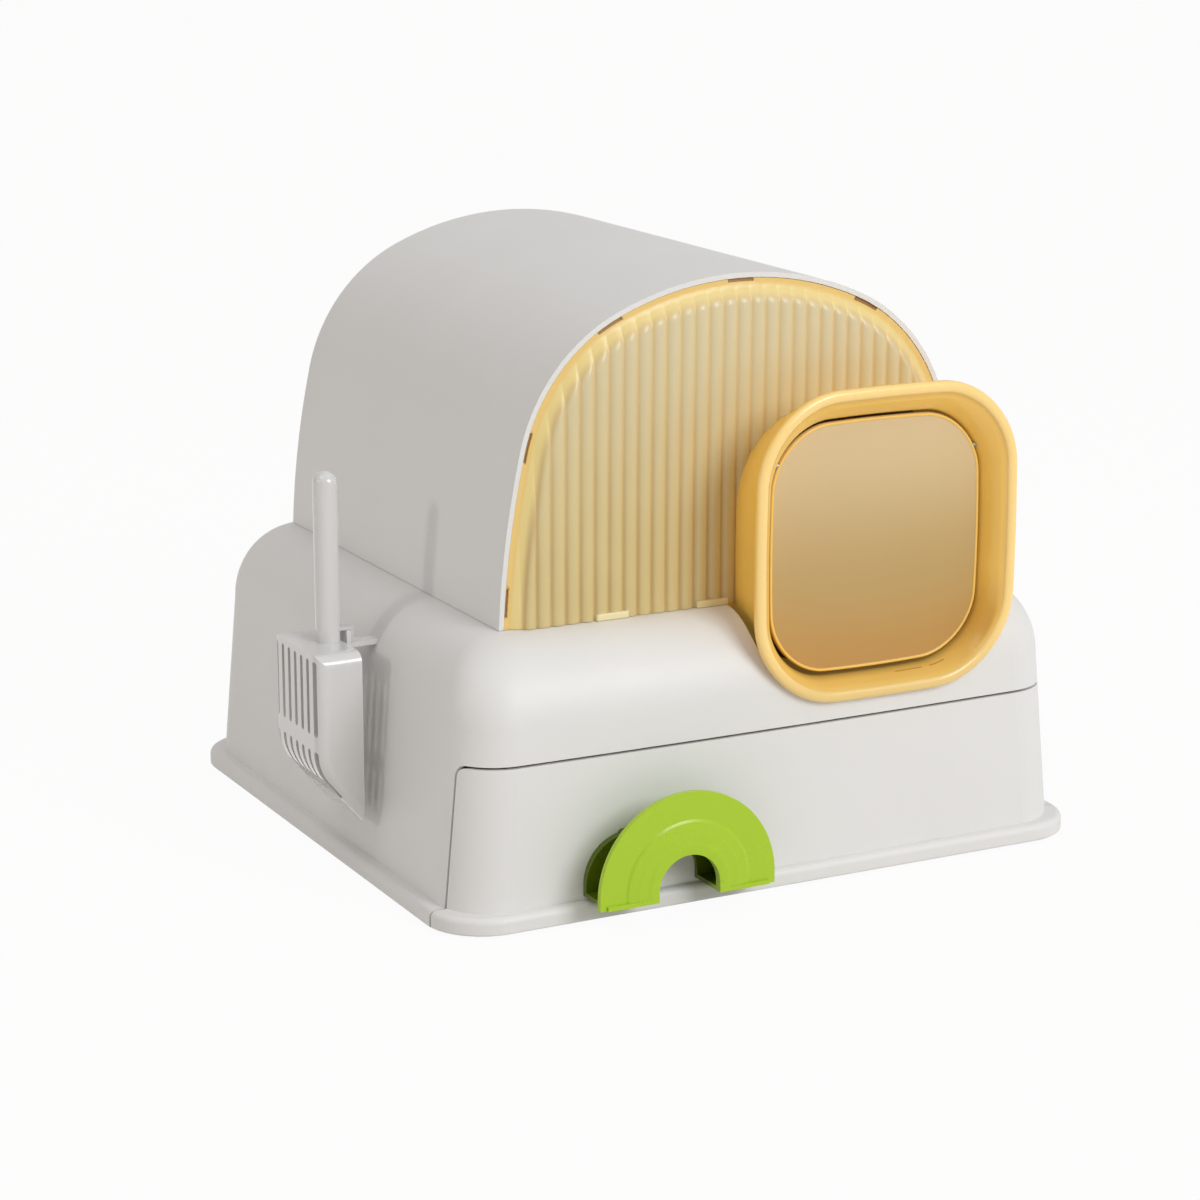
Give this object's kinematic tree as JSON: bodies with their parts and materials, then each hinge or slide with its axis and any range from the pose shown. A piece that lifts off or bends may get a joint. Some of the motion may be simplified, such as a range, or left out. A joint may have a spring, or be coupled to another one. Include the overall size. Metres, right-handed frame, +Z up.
{
  "type": "drawer litter box",
  "caption": "Litter box with a rounded base, a pull-out drawer with an arch handle, a vaulted lift-off hood with a fluted window, a flared entry with a swing flap, and a hanging scoop",
  "frame": {"origin": "on the floor under the middle of the base, on the underside of the floor pan", "axes": "X to the right along the front, Y from the front to the back, Z up; the drawer and the entry face -Y"},
  "size_m": [0.533, 0.504, 0.4159],
  "materials": {
    "white_plastic": "satin moulded plastic",
    "pad_rubber": "soft rubber",
    "tray_plastic": "satin moulded plastic",
    "lime_plastic": "glossy moulded plastic",
    "screw_steel": "zinc plated",
    "tan_plastic": "tinted clear plastic, fluted",
    "amber_plastic": "tinted clear plastic",
    "flap_plastic": "tinted clear plastic",
    "pin_steel": "bright wire",
    "scoop_plastic": "glossy moulded plastic"
  },
  "bodies": {
    "base": {"base_plate": "white_plastic", "foot_pads": "pad_rubber", "housing": "white_plastic", "scoop_hook": "white_plastic"},
    "drawer": {"drawer_front": "white_plastic", "litter_tray": "tray_plastic", "drawer_handle": "lime_plastic", "handle_screws": "screw_steel"},
    "hood": {"hood_shell": "white_plastic", "rear_panel": "white_plastic", "front_panel": "tan_plastic", "entry_tunnel": "amber_plastic", "tunnel_retainer": "amber_plastic"},
    "flap": {"flap_door": "flap_plastic", "flap_hinge_pins": "pin_steel"},
    "scoop": {"litter_scoop": "scoop_plastic"}
  },
  "joints": [
    {"name": "drawer_slide", "type": "slide", "parent": "base", "child": "drawer", "axis": [0, -1, 0], "range_m": [0, 0.38]},
    {"name": "hood_lift", "type": "slide", "parent": "base", "child": "hood", "axis": [0, 0, 1], "range_m": [0, 0.15]},
    {"name": "flap_swing", "type": "hinge", "parent": "hood", "child": "flap", "pos_m": [0.0833, -0.212, 0.29075], "axis": [1, 0, 0], "range_deg": [-60, 60]},
    {"name": "scoop_lift", "type": "slide", "parent": "base", "child": "scoop", "axis": [0, 0, 1], "range_m": [0, 0.08]}
  ]
}
